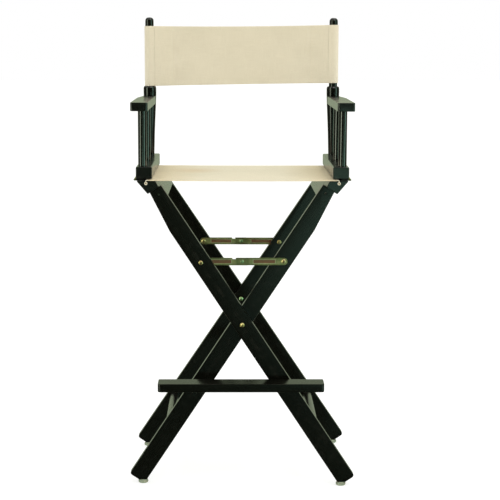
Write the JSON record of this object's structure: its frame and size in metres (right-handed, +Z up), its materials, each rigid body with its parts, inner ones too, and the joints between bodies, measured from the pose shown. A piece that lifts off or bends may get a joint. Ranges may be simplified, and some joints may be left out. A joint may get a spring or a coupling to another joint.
{
  "type": "director chair",
  "caption": "Bar-height folding director chair with crossed wooden legs, hinged arm frames, canvas seat and back, spreader stays and a swinging footrest board",
  "frame": {"origin": "on the floor under the centre of the bounding box, chair open and footrest down", "axes": "+Z up, -Y the way the sitter faces, +X the viewer's right when facing the chair's front"},
  "size_m": [0.5578, 0.4576, 1.156],
  "materials": {
    "lacquer": "black satin lacquer on wood",
    "canvas": "natural cotton canvas, plain weave",
    "zinc": "yellow zinc plated steel",
    "steel": "plain zinc plated steel",
    "nylon": "off-white nylon",
    "raw_wood": "bare hardwood dowel"
  },
  "bodies": {
    "outer_frame": {"outer_leg_front": "lacquer", "outer_leg_rear": "lacquer", "seat_rail_left": "lacquer", "stretcher_right": "lacquer", "glide_front_right": "nylon", "glide_rear_right": "nylon", "leg_bolt_front_left": "steel", "leg_bolt_rear_left": "steel", "pivot_bolt_front": "zinc", "pivot_bolt_rear": "zinc", "pivot_nut_front": "zinc", "pivot_nut_rear": "zinc", "pivot_washer_front": "nylon", "pivot_washer_rear": "nylon", "front_stay_bolt_left": "zinc", "rear_stay_bolt_left": "zinc", "hinge_lower_leaf_left": "zinc", "hinge_pin_left": "zinc", "seat_dowel_left": "raw_wood", "footrest_washer": "nylon", "seat_canvas": "canvas"},
    "inner_frame": {"inner_leg_front": "lacquer", "inner_leg_rear": "lacquer", "seat_rail_right": "lacquer", "stretcher_left": "lacquer", "glide_front_left": "nylon", "glide_rear_left": "nylon", "leg_bolt_front_right": "steel", "leg_bolt_rear_right": "steel", "front_stay_bolt_right": "zinc", "rear_stay_bolt_right": "zinc", "hinge_lower_leaf_right": "zinc", "hinge_pin_right": "zinc", "seat_dowel_right": "raw_wood", "footrest_peg": "lacquer"},
    "left_arm": {"arm_rail_left": "lacquer", "armrest_left": "lacquer", "front_dowel_left": "lacquer", "middle_dowel_left": "lacquer", "post_left": "lacquer", "hinge_upper_leaf_left": "zinc", "back_canvas": "canvas"},
    "right_arm": {"arm_rail_right": "lacquer", "armrest_right": "lacquer", "front_dowel_right": "lacquer", "middle_dowel_right": "lacquer", "post_right": "lacquer", "hinge_upper_leaf_right": "zinc"},
    "stay_front_left": {"front_stay_arm_left": "zinc", "front_stay_rivet": "zinc"},
    "stay_front_right": {"front_stay_arm_right": "zinc"},
    "stay_rear_right": {"rear_stay_arm_right": "zinc", "rear_stay_rivet": "zinc"},
    "stay_rear_left": {"rear_stay_arm_left": "zinc"},
    "footrest": {"footrest_board": "lacquer", "footrest_bolt": "zinc"}
  },
  "joints": [
    {"name": "fold", "type": "hinge", "parent": "outer_frame", "child": "inner_frame", "pos_m": [0, 0.02525, 0.4085], "axis": [0, -1, 0], "range_deg": [0, 59.6], "deforming": ["seat_canvas", "back_canvas"]},
    {"name": "arm_hinge_left", "type": "hinge", "parent": "outer_frame", "child": "left_arm", "pos_m": [-0.2603, 0.02525, 0.76585], "axis": [0, -1, 0], "range_deg": [0, 30]},
    {"name": "arm_hinge_right", "type": "hinge", "parent": "inner_frame", "child": "right_arm", "pos_m": [0.2603, 0.02525, 0.76585], "axis": [0, -1, 0], "range_deg": [-30, 0]},
    {"name": "stay_pivot_front_left", "type": "hinge", "parent": "outer_frame", "child": "stay_front_left", "pos_m": [-0.10135, -0.14945, 0.56279], "axis": [0, -1, 0], "range_deg": [0, 113.5]},
    {"name": "stay_pivot_front_right", "type": "hinge", "parent": "inner_frame", "child": "stay_front_right", "pos_m": [0.10135, -0.14945, 0.56279], "axis": [0, -1, 0], "range_deg": [-113.5, 0]},
    {"name": "stay_pivot_rear_left", "type": "hinge", "parent": "outer_frame", "child": "stay_rear_left", "pos_m": [-0.10135, 0.19995, 0.56279], "axis": [0, -1, 0], "range_deg": [0, 113.5]},
    {"name": "stay_pivot_rear_right", "type": "hinge", "parent": "inner_frame", "child": "stay_rear_right", "pos_m": [0.10135, 0.19995, 0.56279], "axis": [0, -1, 0], "range_deg": [-113.5, 0]},
    {"name": "footrest_swing", "type": "hinge", "parent": "outer_frame", "child": "footrest", "pos_m": [0.09492, -0.17575, 0.264], "axis": [0, 1, 0], "range_deg": [0, 56.7]}
  ],
  "couplings": [
    {"joint": "arm_hinge_left", "follows": "fold", "ratio": 0.5},
    {"joint": "arm_hinge_right", "follows": "fold", "ratio": -0.5},
    {"joint": "stay_pivot_front_left", "follows": "fold", "ratio": 1.9027},
    {"joint": "stay_pivot_front_right", "follows": "fold", "ratio": -1.9027},
    {"joint": "stay_pivot_rear_left", "follows": "fold", "ratio": 1.9027},
    {"joint": "stay_pivot_rear_right", "follows": "fold", "ratio": -1.9027}
  ]
}
